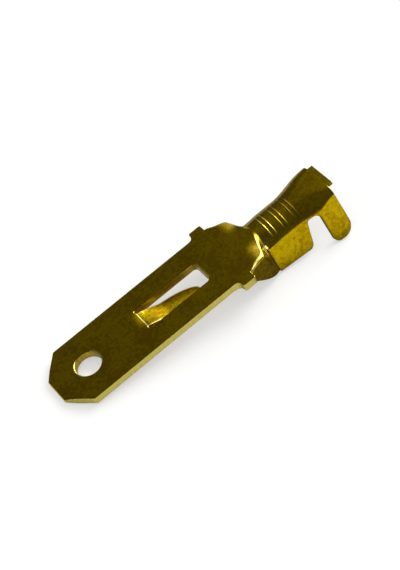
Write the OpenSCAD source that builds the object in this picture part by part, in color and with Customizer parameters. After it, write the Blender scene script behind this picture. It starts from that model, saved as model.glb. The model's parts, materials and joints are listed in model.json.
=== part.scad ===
// Open-barrel male spade terminal, stamped and folded from one brass strip that is thick
// at the blade and thin at the crimp barrel. It lies as it comes to rest: back up, locking
// lance and crimp wings down, on the blade's tip and on the tips of the insulation wings.
// Until the last step the part is drawn in the blade's own frame: X runs from the blade's
// tip to the tail, and the blade's upper face lies in z = 0.

/* [Blade] */
// Width of the blade
blade_w = 6.3; // [5.6:0.1:8]
// Thickness of the blade
blade_t = 0.8; // [0.6:0.05:1]
// Length of the blade from its tip to the stop ears
blade_len = 16.4; // [15.5:0.1:20]
// Length of each corner chamfer at the tip
tip_chamfer_len = 1.85; // [1:0.05:2.2]
// Width that each corner chamfer takes off the tip
tip_chamfer_w = 1.95; // [1:0.05:2.1]
// Length of the rounded lead-in at the tip
tip_lead_len = 1; // [0.6:0.1:1.6]
// Thickness left at the very tip
tip_end_t = 0.35; // [0.2:0.05:0.5]
// Radius that the stamping leaves on the blade's lower edges
edge_roll_r = 0.16; // [0.05:0.01:0.25]
// Diameter of the detent hole
hole_d = 2.25; // [1.6:0.05:2.8]
// Distance of the detent hole from the tip
hole_x = 3.3; // [2.8:0.1:5]

/* [Locking lance] */
// Distance of the window's front end, where the lance folds, from the tip
window_x = 8.75; // [7:0.05:9.2]
// Length of the window
window_len = 6.25; // [5.7:0.05:6.35]
// Width of the window
window_w = 2.35; // [1.7:0.05:2.6]
// Corner radius at the window's rear end
window_corner_r = 0.35; // [0.1:0.05:0.7]
// Clearance between the lance and each side of the window
lance_clearance = 0.3; // [0.1:0.05:0.4]
// Length of the lance's steep run behind its fold
lance_run = 1.6; // [1:0.1:1.9]
// Radius of the lance's knee on its upper face
lance_knee_r = 1.5; // [0.6:0.1:2.5]
// Length of the lance's flatter run behind its knee
lance_len = 3.2; // [2.7:0.1:3.5]
// Length of the rounded end of the lance
lance_nose_len = 2.6; // [0.8:0.1:2.9]
// Angle of the lance's steep run below the blade
lance_angle = 25; // [16:1:28]
// Angle of the lance's flatter run below the blade
lance_end_angle = 10; // [4:1:13]
// Inner radius of the lance's fold
lance_fold_r = 0.4; // [0.2:0.05:0.8]

/* [Stop ears] */
// Width over both stop ears
ear_span = 7.7; // [7:0.1:9]
// Length of each stop ear along the blade
ear_len = 1.2; // [0.8:0.05:1.6]
// Radius of each ear's outer corners
ear_corner_r = 0.15; // [0.05:0.05:0.3]
// Radius between each ear and the blade
ear_root_r = 0.45; // [0.1:0.05:0.5]

/* [Neck] */
// Length of the neck between the ears and the wire barrel
neck_len = 2.5; // [2:0.1:3.2]
// Width of the neck at the ears
neck_front_w = 6.5; // [5.6:0.1:6.7]
// Width of the neck at its rear end
neck_rear_w = 4.9; // [4.2:0.1:5.4]
// Outer radius of the folds along the neck
neck_fold_r = 0.35; // [0.2:0.05:0.5]
// Lean of the neck's walls from the upright
neck_splay = 6; // [0:1:12]
// Depth of the neck's walls at the ears
neck_front_depth = 1.2; // [1.05:0.05:1.6]
// Depth of the neck's walls at the wire barrel
neck_rear_depth = 3; // [2:0.05:3.1]
// Length over which the strip thins behind the ears
strip_step_len = 0.7; // [0.3:0.1:1.2]
// Length ahead of the wire barrel over which the neck's folds grow round
shoulder_len = 0.9; // [0.8:0.1:1.9]

/* [Crimp barrel] */
// Thickness of the strip at the barrel
strip_t = 0.4; // [0.3:0.05:0.5]
// Lean of the crimp wings from the upright
wing_splay = 23; // [10:1:28]
// Length of the wire wings
wire_len = 3.45; // [3:0.05:4.5]
// Width of the flat floor in the wire barrel
wire_floor_w = 0.2; // [0.1:0.1:0.8]
// Outer corner radius of the wire barrel
wire_corner_r = 1.85; // [1.2:0.05:2]
// Depth of the wire barrel at its front
wire_depth = 3.2; // [2.4:0.05:3.25]
// Depth of the wire barrel at its rear
wire_rear_depth = 3.4; // [2.6:0.05:3.7]
// Length of the gap between the wire wings and the insulation wings
wing_gap = 1.7; // [1.5:0.05:2.2]
// Depth of the uncut strip at the wire wings' end of that gap
gap_wire_depth = 1.2; // [1:0.05:1.5]
// Depth of the uncut strip at the insulation wings' end of that gap
gap_ins_depth = 1.1; // [0.7:0.05:1.3]
// Length of the insulation wings
ins_len = 1.9; // [1.6:0.05:2.6]
// Width of the flat floor in the insulation barrel
ins_floor_w = 2.4; // [1.8:0.05:3]
// Outer corner radius of the insulation barrel
ins_corner_r = 0.93; // [0.6:0.01:1.2]
// Depth of the insulation barrel
ins_depth = 4; // [3.95:0.05:4.6]
// Radius of the wire wings' front corners
wire_front_r = 0.2; // [0.1:0.05:0.5]
// Radius of the wire wings' rear corners
wire_rear_r = 0.5; // [0.2:0.05:0.7]
// Lean of the wire wings' rear edges towards the tail at their root
wire_rear_lean = 0.6; // [0.2:0.05:0.75]
// Radius at the root of the wire wings' rear edges
gap_wire_r = 0.35; // [0.1:0.05:0.6]
// Radius at the root of the insulation wings' front edges
gap_ins_r = 0.45; // [0.1:0.05:0.5]
// Radius of the insulation wings' front corners
ins_front_r = 0.45; // [0.2:0.05:0.6]
// Radius of the insulation wings' rear corners
ins_rear_r = 1; // [0.3:0.05:1.1]
// Width of the relief slit between the neck's walls and the wire wings
relief_w = 0.1; // [0.08:0.02:0.24]
// Depth of the uncut strip above that slit
relief_depth = 0.65; // [0.55:0.05:1.2]
// Length of the cut-off tab at the tail
tail_tab_len = 0.5; // [0.2:0.05:1]
// Width of the cut-off tab at the tail
tail_tab_w = 2.7; // [1.6:0.1:2.9]
// Amount by which each face of the cut-off tab lies inside the strip's
tail_tab_step = 0.03; // [0.02:0.01:0.1]

/* [Serrations] */
// Number of wire-gripping grooves in the wire barrel
groove_count = 3; // [1:1:3]
// Distance of the first groove's middle from the wire barrel's front
groove_first = 1.23; // [0.9:0.01:1.3]
// Distance from one groove to the next
groove_pitch = 1.18; // [0.8:0.01:1.25]
// Width of each groove
groove_w = 0.42; // [0.2:0.02:0.5]
// Depth of each groove
groove_depth = 0.1; // [0.05:0.01:0.15]
// Depth in the barrel to which the grooves run along the wings
groove_reach = 2.3; // [1.4:0.1:2.3]

/* [Hidden] */
brass = [0.72, 0.62, 0.18];
$fn = 48;

// Stations along the part
neck_x = blade_len + ear_len;
wire_x = neck_x + neck_len;
gap_x = wire_x + wire_len;
ins_x = gap_x + wing_gap;
ins_end_x = ins_x + ins_len;
tail_x = ins_end_x + tail_tab_len;
lance_w = window_w - 2 * lance_clearance;
wing_lip = strip_t * sin(wing_splay);
ins_low_z = -(ins_depth + wing_lip);
wire_low_z = -(wire_depth + wing_lip);
wire_rear_low_z = -(wire_rear_depth + wing_lip);

// The neck turns into the wire barrel over this stretch, on both sides of the relief slit
turn_before = 0.8;
turn_after = 0.2;
// The barrel widens from a little ahead of the gap to about the middle of the insulation wings
flare_before = 0.3;
flare_x0 = gap_x - flare_before;
flare_x1 = (ins_x + ins_end_x) / 2;
// Its folds tighten from a little ahead of the insulation wings to the rear of those
tighten_before = 0.45;
tighten_x0 = ins_x - tighten_before;

// Fineness of the folded strip: points on each fold, and sections along each stretch
fold_steps = 8;
neck_steps = 8;
turn_steps = 12;
flare_steps = 14;
// Smallest inside radius of a fold
min_inner_r = 0.05;
// Outer radius of the neck's folds right at the ears, and the share of the neck over which it grows
ear_fold_r = 0.1;
ear_fold_share = 0.4;
// Amount by which a cutter runs past what it cuts
over = 1;
// Reach of a cutter across the whole part
across_w = 2 * ear_span;

// Radius of the tip's lead-in, which drops by half of the thickness lost over its length
lead_drop = (blade_t - tip_end_t) / 2;
lead_r = (tip_lead_len * tip_lead_len + lead_drop * lead_drop) / (2 * lead_drop);

// Centres of the lance's two folds and its end, in side view
lance_outer_r = blade_t + lance_fold_r;
lance_fold_c = [window_x, -lance_outer_r];
lance_knee = lance_fold_c + lance_outer_r * [sin(lance_angle), cos(lance_angle)]
    + lance_run * [cos(lance_angle), -sin(lance_angle)];
lance_knee_c = lance_knee + lance_knee_r * [sin(lance_angle), cos(lance_angle)];
lance_end = lance_knee_c - lance_knee_r * [sin(lance_end_angle), cos(lance_end_angle)]
    + lance_len * [cos(lance_end_angle), -sin(lance_end_angle)];

// Rest: the surface below touches the lower lead-in arc and the insulation wings' front corner arc
rest_dx = ins_x + ins_front_r - tip_lead_len;
rest_dz = lead_r - blade_t - (ins_low_z + ins_front_r);
rest_dist = sqrt(rest_dx * rest_dx + rest_dz * rest_dz);
rest_tilt = atan2(rest_dz, rest_dx) - asin((lead_r - ins_front_r) / rest_dist);
rest_drop = lead_r - tip_lead_len * sin(rest_tilt) - (lead_r - blade_t) * cos(rest_tilt);
rest_x_min = lead_drop * sin(rest_tilt);
rest_x_max = tail_x * cos(rest_tilt) + (strip_t - tail_tab_step) * sin(rest_tilt);

function clamp01(u) = min(max(u, 0), 1);
function smooth(u) = let (c = clamp01(u)) c * c * (3 - 2 * c);
function mix(p, q, u) = p + (q - p) * u;
function reversed(list) = [for (i = [len(list) - 1:-1:0]) list[i]];
function mirrored(list) = [for (p = list) [-p[0], p[1]]];

// How far the section at x has turned from neck to wire barrel, and from wire to insulation barrel
function turn_at(x) = smooth((x - wire_x + turn_before) / (turn_before + turn_after));
function flare_at(x) = smooth((x - flare_x0) / (flare_x1 - flare_x0));
// How far the barrel's folds have tightened at x
function tighten_at(x) = smooth((x - tighten_x0) / (ins_end_x - tighten_x0));
// How far the neck's folds have grown round at x
function shoulder_at(x) = smooth((x - wire_x + shoulder_len) / (shoulder_len + turn_after));
// Share of a fold's radius between its floor and the corner where the faces would meet
function corner_share(splay) = (1 - sin(splay)) / cos(splay);

// Thickness, half floor width, fold radius, wing lean and wing depth of the strip at x
function strip_at(x) =
    let (along_neck = clamp01((x - neck_x) / neck_len))
    let (neck_r = mix(ear_fold_r, neck_fold_r, smooth(along_neck / ear_fold_share)))
    let (neck_half = mix(neck_front_w, neck_rear_w, along_neck) / 2 - neck_r)
    let (neck_depth = mix(neck_front_depth, neck_rear_depth, sin(90 * along_neck)))
    let (turn = turn_at(x))
    let (flare = flare_at(x))
    let (splay = mix(neck_splay, wing_splay, turn))
    let (k = corner_share(splay))
    let (neck_corner = neck_half + neck_r * k)
    let (wire_corner = wire_floor_w / 2 + wire_corner_r * k)
    let (ins_corner = ins_floor_w / 2 + ins_corner_r * k)
    let (corner = mix(mix(neck_corner, wire_corner, turn), ins_corner, flare))
    let (fold_r = mix(mix(neck_r, wire_corner_r, shoulder_at(x)), ins_corner_r, tighten_at(x)))
    let (wire_now = mix(wire_depth, wire_rear_depth, clamp01((x - wire_x) / wire_len)))
    let (barrel_depth = mix(wire_now, ins_depth, clamp01((x - gap_x) / wing_gap)))
    [
        mix(blade_t, strip_t, smooth((x - neck_x) / strip_step_len)),
        corner - fold_r * k,
        fold_r,
        splay,
        mix(neck_depth, barrel_depth, turn)
    ];

// Half of the strip's section, from a wing's tip round the fold to the floor, at a distance
// inside the outer face
function half_path(half_floor, fold_r, splay, depth, inside) =
    let (k = corner_share(splay))
    let (r = inside > 0 ? max(fold_r - inside, min_inner_r) : fold_r)
    let (corner = half_floor + fold_r * k)
    let (centre = [corner - k * (inside + r), -(inside + r)])
    let (tip = [corner + depth * tan(splay), -depth] - inside * [cos(splay), sin(splay)])
    concat([tip], [for (i = [0:fold_steps])
        let (turn = mix(splay, 90, i / fold_steps))
        centre + r * [cos(turn), sin(turn)]]);

// Whole path across both wings
function full_path(half_floor, fold_r, splay, depth, inside) =
    let (half = half_path(half_floor, fold_r, splay, depth, inside))
    concat(half, reversed(mirrored(half)));

// Closed section of the strip at x, as y and z
function section_at(x) =
    let (s = strip_at(x))
    concat(full_path(s[1], s[2], s[3], s[4], 0), reversed(full_path(s[1], s[2], s[3], s[4], s[0])));

function steps(x0, x1, n) = [for (i = [0:n - 1]) mix(x0, x1, i / n)];

strip_stations = concat(
    steps(neck_x, wire_x - shoulder_len, neck_steps),
    steps(wire_x - shoulder_len, wire_x + turn_after, turn_steps),
    [wire_x + turn_after],
    steps(flare_x0, ins_end_x, flare_steps),
    [ins_end_x]);

// Draws a side view, given as x and z, right across the part
module across() {
    rotate([90, 0, 0])
        linear_extrude(height = across_w, center = true)
            children();
}

// Draws a section, given as y and z, from x over a length
module along(x, length) {
    translate([x, 0, 0])
        rotate([90, 0, 90])
            linear_extrude(height = length)
                children();
}

// Points of an arc that rounds the corner between two straight lines
function round_corner(before, corner, after, r) =
    let (u = (before - corner) / norm(before - corner))
    let (v = (after - corner) / norm(after - corner))
    let (half_angle = acos(u * v) / 2)
    let (axis = (u + v) / norm(u + v))
    let (centre = corner + axis * r / sin(half_angle))
    let (first = corner + u * r / tan(half_angle) - centre)
    let (last = corner + v * r / tan(half_angle) - centre)
    [for (i = [0:fold_steps])
        let (way = first * (1 - i / fold_steps) + last * i / fold_steps)
        centre + r * way / norm(way)];

// Waste outside a rounded lower corner at x and z, with the wing ahead of or behind the corner
module corner_waste(x, z, r, ahead) {
    translate([x, z])
        mirror([ahead ? 0 : 1, 0])
            difference() {
                translate([-relief_w / 2, -over])
                    square([r + relief_w / 2, r + over]);
                translate([r, r])
                    circle(r);
            }
}

// Outline of the blade with its chamfered tip and stop ears
module blade_outline() {
    half = blade_w / 2;
    ear = ear_span / 2;
    shoulder = [tip_chamfer_len, half];
    root = [blade_len, half];
    front = [blade_len, ear];
    rear = [neck_x, ear];
    end = [neck_x, half];
    side = concat(
        [[0, half - tip_chamfer_w], shoulder],
        round_corner(shoulder, root, front, ear_root_r),
        round_corner(root, front, rear, ear_corner_r),
        round_corner(front, rear, end, ear_corner_r),
        [end]);
    polygon(concat(side, reversed([for (p = side) [p[0], -p[1]]])));
}

// Waste below the rolled lower edge of the blade between two points of its outline
module edge_waste(from, to) {
    run = to - from;
    translate([from[0], from[1], -blade_t])
        rotate([0, 0, atan2(run[1], run[0])])
            rotate([90, 0, 90])
                linear_extrude(height = norm(run))
                    difference() {
                        translate([-over, -over])
                            square(edge_roll_r + over);
                        translate([edge_roll_r, edge_roll_r])
                            circle(edge_roll_r);
                    }
}

// Waste above the lead-in arc that thins one face of the tip
module lead_waste() {
    difference() {
        translate([-over, -lead_drop])
            square([tip_lead_len + over, lead_drop + over]);
        translate([tip_lead_len, -lead_r])
            circle(lead_r, $fn = 96);
    }
}

// Window that the lance is cut from, square at the fold and rounded at the rear
module window_outline() {
    r = window_corner_r;
    difference() {
        translate([window_x, -window_w / 2])
            square([window_len, window_w]);
        for (side = [-1, 1])
            translate([window_x + window_len - r, side * (window_w / 2 - r)])
                difference() {
                    translate([0, side > 0 ? 0 : -r])
                        square(r);
                    circle(r);
                }
    }
}

// Side view of the lance's face at a distance inside its upper one, from the fold to its end
function lance_path(inside) = concat(
    [for (i = [0:fold_steps])
        let (turn = lance_angle * i / fold_steps)
        lance_fold_c + (lance_outer_r - inside) * [sin(turn), cos(turn)]],
    [for (i = [0:fold_steps])
        let (turn = mix(lance_angle, lance_end_angle, i / fold_steps))
        lance_knee_c - (lance_knee_r + inside) * [sin(turn), cos(turn)]],
    [lance_end - inside * [sin(lance_end_angle), cos(lance_end_angle)]]);

// Plan of the lance, run on past its fold and with a long rounded nose
module lance_outline() {
    nose_x = lance_end[0] - lance_nose_len;
    nose = [for (i = [0:16])
        let (turn = -90 + 180 * i / 16)
        [nose_x + lance_nose_len * cos(turn), lance_w / 2 * sin(turn)]];
    polygon(concat([[window_x - over, -lance_w / 2]], nose, [[window_x - over, lance_w / 2]]));
}

// Locking lance: a fold below the blade, a steep run, a knee part of the way back and a flatter run
module lance() {
    intersection() {
        across()
            polygon(concat(lance_path(0), reversed(lance_path(blade_t))));
        translate([0, 0, -blade_len])
            linear_extrude(height = 2 * blade_len)
                lance_outline();
    }
}

// Waste below the rolled edges of both sides and both chamfers, run on past the corner they share
module edges_waste() {
    half = blade_w / 2;
    chamfer = [tip_chamfer_len, tip_chamfer_w];
    for (side = [0, 1])
        mirror([0, side, 0]) {
            edge_waste([tip_chamfer_len - over, -half], [blade_len, -half]);
            edge_waste([0, tip_chamfer_w - half] - chamfer, [2 * tip_chamfer_len, -half - tip_chamfer_w]);
        }
}

// Flat blade with its lead-in, detent hole and window
module blade() {
    difference() {
        translate([0, 0, -blade_t])
            linear_extrude(height = blade_t)
                blade_outline();
        across()
            lead_waste();
        across()
            translate([0, -blade_t])
                mirror([0, 1])
                    lead_waste();
        edges_waste();
        translate([hole_x, 0, -blade_t - over])
            cylinder(d = hole_d, h = blade_t + 2 * over);
        translate([0, 0, -blade_t - over])
            linear_extrude(height = blade_t + 2 * over)
                window_outline();
    }
}

// Folded strip from the ears to the tail, as a loft through the strip's sections
module folded_strip() {
    rings = [for (x = strip_stations) [for (p = section_at(x)) [x, p[0], p[1]]]];
    n = len(rings[0]);
    last = len(rings) - 1;
    points = [for (ring = rings) each ring];
    sides = [for (j = [0:last - 1], i = [0:n - 1])
        let (p = j * n + i)
        let (q = j * n + (i + 1) % n)
        each [[p, p + n, q], [q, p + n, q + n]]];
    front = [for (i = [0:n / 2 - 2])
        let (p = n - 1 - i)
        each [[i, i + 1, p], [i + 1, p - 1, p]]];
    back = [for (face = front) [for (i = reversed(face)) last * n + i]];
    polyhedron(points, concat(sides, front, back));
}

// Side view of what is cut out of the folded strip's walls
module wall_waste() {
    low = ins_low_z - over;
    // Relief slits, ending in round holes
    translate([wire_x - relief_w, low])
        square([relief_w, -low - relief_depth]);
    translate([wire_x - relief_w / 2, -relief_depth])
        circle(d = 1.5 * relief_w);
    // Gap between the wire wings and the insulation wings
    wire_foot = [gap_x, wire_rear_low_z + wire_rear_r];
    wire_root = [gap_x + wire_rear_lean, -gap_wire_depth];
    ins_root = [ins_x, -gap_ins_depth];
    ins_foot = [ins_x, low];
    polygon(concat(
        [[gap_x, low], wire_foot],
        round_corner(wire_foot, wire_root, ins_root, gap_wire_r),
        round_corner(wire_root, ins_root, ins_foot, gap_ins_r),
        [ins_foot]));
    corner_waste(wire_x, wire_low_z, wire_front_r, true);
    corner_waste(gap_x, wire_rear_low_z, wire_rear_r, false);
    corner_waste(ins_x, ins_low_z, ins_front_r, true);
    corner_waste(ins_end_x, ins_low_z, ins_rear_r, false);
}

// Wire-gripping grooves pressed into the inside of the wire barrel
module grooves() {
    s = strip_at(wire_x + wire_len / 2);
    first = wire_x + groove_first - groove_w / 2;
    for (i = [0:groove_count - 1])
        along(first + i * groove_pitch, groove_w)
            polygon(concat(
                full_path(s[1], s[2], s[3], groove_reach, strip_t - groove_depth),
                reversed(full_path(s[1], s[2], s[3], groove_reach, strip_t + groove_depth))));
}

// Cut-off tab where the terminal was held in its carrier strip, pressed thinner by the cut
module tail_tab() {
    translate([ins_end_x - strip_t, -tail_tab_w / 2, -strip_t + tail_tab_step])
        cube([tail_tab_len + strip_t, tail_tab_w, strip_t - 2 * tail_tab_step]);
}

// The whole terminal in its own frame
module flat_terminal() {
    blade();
    lance();
    difference() {
        folded_strip();
        across()
            wall_waste();
        grooves();
    }
    tail_tab();
}

// The terminal at rest, with the middle of its footprint at the origin
module terminal() {
    color(brass)
        translate([-(rest_x_min + rest_x_max) / 2, 0, rest_drop])
            rotate([0, -rest_tilt, 0])
                flat_terminal();
}

terminal();
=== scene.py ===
"""Brass male spade terminal: the strip is folded from its flat blank and set on a pale studio stage."""
import json
import math

import bpy
import numpy as np
from bpy.props import FloatProperty, FloatVectorProperty, PointerProperty
from mathutils import Matrix, Vector
from mathutils.geometry import delaunay_2d_cdt


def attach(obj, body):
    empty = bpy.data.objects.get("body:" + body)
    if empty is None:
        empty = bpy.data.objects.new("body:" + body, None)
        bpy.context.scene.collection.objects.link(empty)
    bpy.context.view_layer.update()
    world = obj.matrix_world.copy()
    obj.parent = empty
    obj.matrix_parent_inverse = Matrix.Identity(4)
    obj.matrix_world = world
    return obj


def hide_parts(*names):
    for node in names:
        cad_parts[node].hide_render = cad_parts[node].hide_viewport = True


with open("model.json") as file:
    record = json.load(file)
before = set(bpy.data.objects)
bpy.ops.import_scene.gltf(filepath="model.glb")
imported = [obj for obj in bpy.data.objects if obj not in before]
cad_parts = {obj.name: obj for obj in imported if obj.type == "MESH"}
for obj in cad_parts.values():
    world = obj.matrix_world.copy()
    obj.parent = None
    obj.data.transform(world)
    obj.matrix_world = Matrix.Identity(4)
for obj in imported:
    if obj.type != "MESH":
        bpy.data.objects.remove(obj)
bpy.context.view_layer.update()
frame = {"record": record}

bl_info = {
    "name": "Spade terminal",
    "version": (1, 0, 0),
    "blender": (4, 5, 0),
    "location": "3D View > Sidebar > Terminal",
    "description": "Folds a brass spade terminal from its flat blank and sets it on a studio stage",
    "category": "Object",
}

# One millimetre in metres, and the frame's names for the piece and its body
MM = 0.001
NODE = "terminal"
BODY = "root"


def linear(code):
    """A #rrggbb sRGB colour as linear red, green and blue."""
    srgb = np.array([int(code[i:i + 2], 16) for i in (1, 3, 5)]) / 255
    return tuple(np.where(srgb <= 0.04045, srgb / 12.92, ((srgb + 0.055) / 1.055) ** 2.4))


def length(name, description, mm):
    """A length property in metres, from its default in millimetres."""
    return FloatProperty(name=name, description=description, default=mm * MM, unit="LENGTH", precision=5)


def turn(name, description, degrees):
    """An angle property in radians, from its default in degrees."""
    return FloatProperty(name=name, description=description, default=math.radians(degrees), unit="ROTATION")


def tint(name, description, code):
    """A colour property from its default sRGB code."""
    return FloatVectorProperty(name=name, description=description, default=linear(code),
                               subtype="COLOR", min=0, max=1)


class TerminalSizes(bpy.types.PropertyGroup):
    """Sizes of the terminal, the same as those of its solid"""
    blade_w: length("Blade width", "Width of the blade", 6.3)
    blade_t: length("Blade thickness", "Thickness of the blade", 0.8)
    blade_len: length("Blade length", "Length of the blade from its tip to the stop ears", 16.4)
    tip_chamfer_len: length("Chamfer length", "Length of each corner chamfer at the tip", 1.85)
    tip_chamfer_w: length("Chamfer width", "Width that each chamfer takes off the tip", 1.95)
    tip_lead_len: length("Lead-in length", "Length of the rounded lead-in at the tip", 1)
    tip_end_t: length("Tip thickness", "Thickness left at the very tip", 0.35)
    edge_roll_r: length("Edge roll", "Radius that the stamping leaves on the blade's lower edges", 0.16)
    hole_d: length("Hole diameter", "Diameter of the detent hole", 2.25)
    hole_x: length("Hole place", "Distance of the detent hole from the tip", 3.3)
    window_x: length("Window place", "Distance of the lance's fold from the tip", 8.75)
    window_len: length("Window length", "Length of the window", 6.25)
    window_w: length("Window width", "Width of the window", 2.35)
    window_corner_r: length("Window corner", "Corner radius at the window's rear end", 0.35)
    lance_clearance: length("Lance clearance", "Clearance between the lance and the window's sides", 0.3)
    lance_run: length("Lance run", "Length of the lance's steep run behind its fold", 1.6)
    lance_knee_r: length("Lance knee", "Radius of the lance's knee on its upper face", 1.5)
    lance_len: length("Lance length", "Length of the lance's flatter run behind its knee", 3.2)
    lance_nose_len: length("Lance nose", "Length of the rounded end of the lance", 2.6)
    lance_angle: turn("Lance angle", "Angle of the lance's steep run below the blade", 25)
    lance_end_angle: turn("Lance end angle", "Angle of the lance's flatter run below the blade", 10)
    lance_fold_r: length("Lance fold", "Inner radius of the lance's fold", 0.4)
    ear_span: length("Ear span", "Width over both stop ears", 7.7)
    ear_len: length("Ear length", "Length of each stop ear along the blade", 1.2)
    ear_corner_r: length("Ear corner", "Radius of each ear's outer corners", 0.15)
    ear_root_r: length("Ear root", "Radius between each ear and the blade", 0.45)
    neck_len: length("Neck length", "Length of the neck between the ears and the wire barrel", 2.5)
    neck_front_w: length("Neck front width", "Width of the neck at the ears", 6.5)
    neck_rear_w: length("Neck rear width", "Width of the neck at its rear end", 4.9)
    neck_fold_r: length("Neck fold", "Outer radius of the folds along the neck", 0.35)
    neck_splay: turn("Neck splay", "Lean of the neck's walls from the upright", 6)
    neck_front_depth: length("Neck front depth", "Depth of the neck's walls at the ears", 1.2)
    neck_rear_depth: length("Neck rear depth", "Depth of the neck's walls at the wire barrel", 3)
    strip_step_len: length("Strip step", "Length over which the strip thins behind the ears", 0.7)
    strip_t: length("Strip thickness", "Thickness of the strip at the barrel", 0.4)
    wing_splay: turn("Wing splay", "Lean of the crimp wings from the upright", 23)
    shoulder_len: length("Shoulder length", "Length of neck over which its folds grow round", 0.9)
    wire_len: length("Wire wing length", "Length of the wire wings", 3.45)
    wire_floor_w: length("Wire floor", "Width of the flat floor in the wire barrel", 0.2)
    wire_corner_r: length("Wire corner", "Outer corner radius of the wire barrel", 1.85)
    wire_depth: length("Wire front depth", "Depth of the wire barrel at its front", 3.2)
    wire_rear_depth: length("Wire rear depth", "Depth of the wire barrel at its rear", 3.4)
    wing_gap: length("Wing gap", "Length of the gap between the wire and the insulation wings", 1.7)
    gap_wire_depth: length("Gap depth, wire", "Depth of the uncut strip at the wire wings", 1.2)
    gap_ins_depth: length("Gap depth, insulation", "Depth of the uncut strip at the insulation wings", 1.1)
    ins_len: length("Insulation wing length", "Length of the insulation wings", 1.9)
    ins_floor_w: length("Insulation floor", "Width of the flat floor in the insulation barrel", 2.4)
    ins_corner_r: length("Insulation corner", "Outer corner radius of the insulation barrel", 0.93)
    ins_depth: length("Insulation depth", "Depth of the insulation barrel", 4)
    wire_front_r: length("Wire front corner", "Radius of the wire wings' front corners", 0.2)
    wire_rear_r: length("Wire rear corner", "Radius of the wire wings' rear corners", 0.5)
    wire_rear_lean: length("Wire rear lean", "Lean of the wire wings' rear edges at their root", 0.6)
    gap_wire_r: length("Gap radius, wire", "Root radius of the wire wings' rear edges", 0.35)
    gap_ins_r: length("Gap radius, insulation", "Root radius of the insulation wings' front edges", 0.45)
    ins_front_r: length("Insulation front corner", "Radius of the insulation wings' front corners", 0.45)
    ins_rear_r: length("Insulation rear corner", "Radius of the insulation wings' rear corners", 1)
    relief_w: length("Relief width", "Width of the slit between the neck's walls and the wire wings", 0.1)
    relief_depth: length("Relief depth", "Depth of the uncut strip above the slit", 0.65)
    tail_tab_len: length("Tail tab length", "Length of the cut-off tab at the tail", 0.5)
    tail_tab_w: length("Tail tab width", "Width of the cut-off tab at the tail", 2.7)
    tail_tab_step: length("Tail tab step", "Inset of each face of the tab from the strip's", 0.03)
    groove_pitch: length("Groove pitch", "Distance from one wire-gripping groove to the next", 1.18)
    groove_first: length("First groove", "Distance of the first groove from the wire barrel's front", 1.23)
    groove_w: length("Groove width", "Width of each groove", 0.42)
    groove_depth: length("Groove depth", "Depth of each groove inside the barrel", 0.1)
    groove_proud: length("Groove ridge", "Height of the crests that the grooves leave on the outside", 0.02)


class TerminalLooks(bpy.types.PropertyGroup):
    """Colours of the terminal's metal and of the stage"""
    brass: tint("Rolled brass", "Mirror colour of the rolled faces", "#d0b00c")
    tarnish: tint("Tarnish", "Mirror colour where the brass has dulled", "#b08c08")
    sheared: tint("Sheared brass", "Colour of the freshly cut edges", "#cdbf62")
    floor: tint("Floor", "Colour of the pale floor", "#fafaf8")


def lerp(p, q, u):
    """Straight blend from p at u = 0 to q at u = 1."""
    return p + (q - p) * u


def smooth(u):
    """Blend weight that leaves 0 and reaches 1 without a kink."""
    u = np.clip(u, 0, 1)
    return u * u * (3 - 2 * u)


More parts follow.
